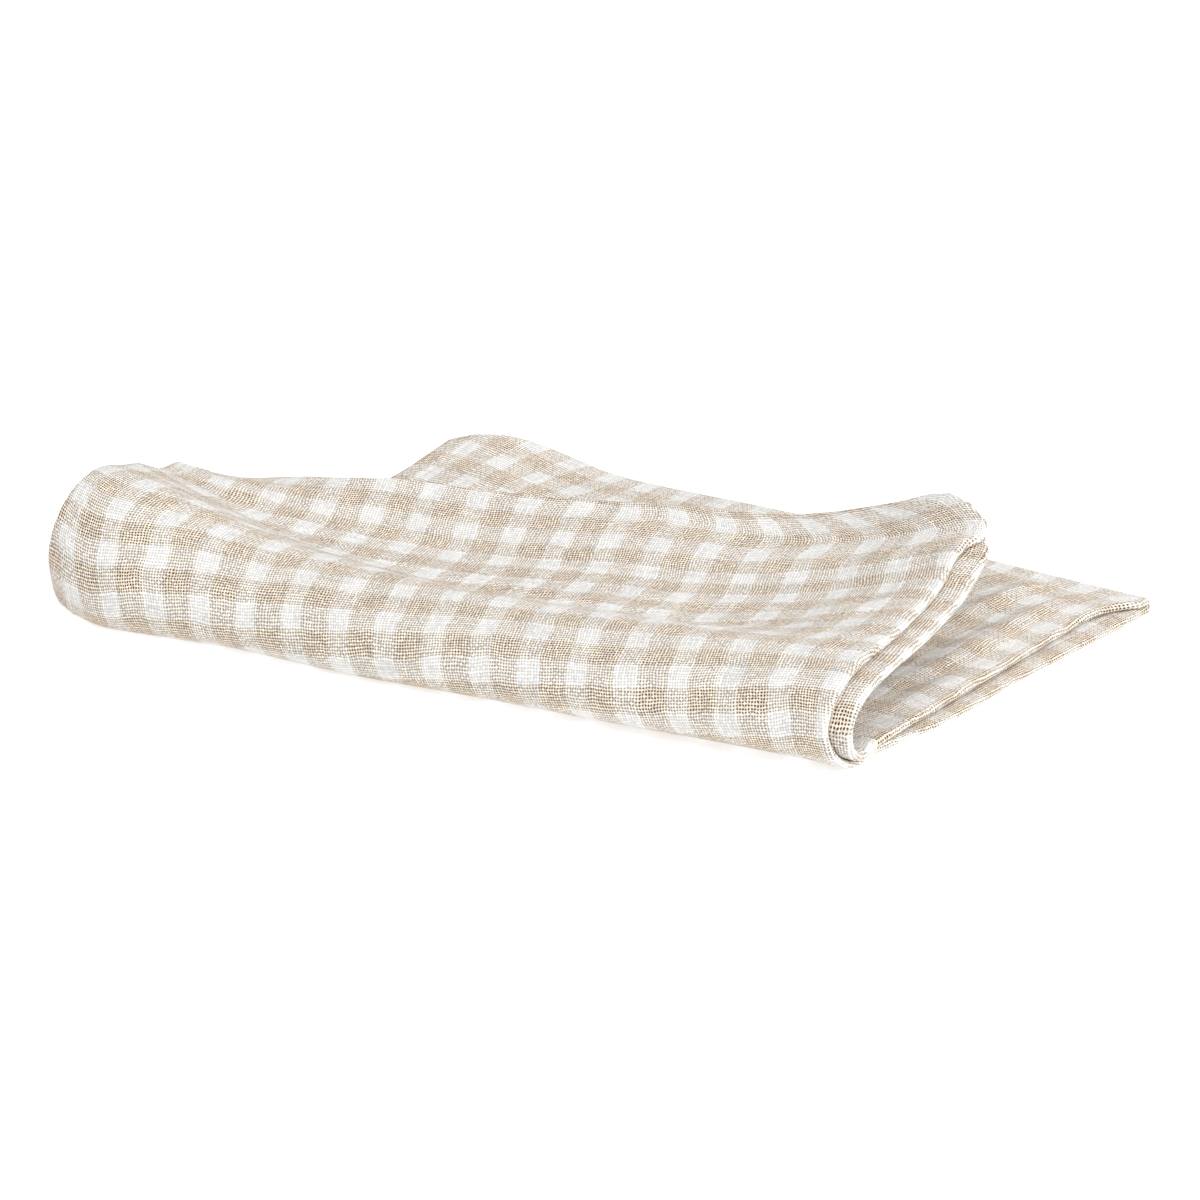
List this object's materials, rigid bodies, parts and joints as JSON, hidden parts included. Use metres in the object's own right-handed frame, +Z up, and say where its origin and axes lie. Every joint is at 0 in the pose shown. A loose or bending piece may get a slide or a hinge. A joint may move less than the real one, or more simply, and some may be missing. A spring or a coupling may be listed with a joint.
{
  "type": "folded cloth napkin",
  "caption": "Cloth napkin folded into a doubled strip and once more over a soft front roll, its layers lying askew.",
  "frame": {"origin": "middle of the folded napkin's bounding box, on the surface it rests on", "axes": "+X along the front fold to the right, +Y from the front fold to the back, +Z up"},
  "size_m": [0.2512, 0.145, 0.0315],
  "materials": {
    "linen": "matt plain-weave linen with small checks in white and natural beige"
  },
  "bodies": {
    "root": {"napkin": "linen"}
  },
  "joints": []
}
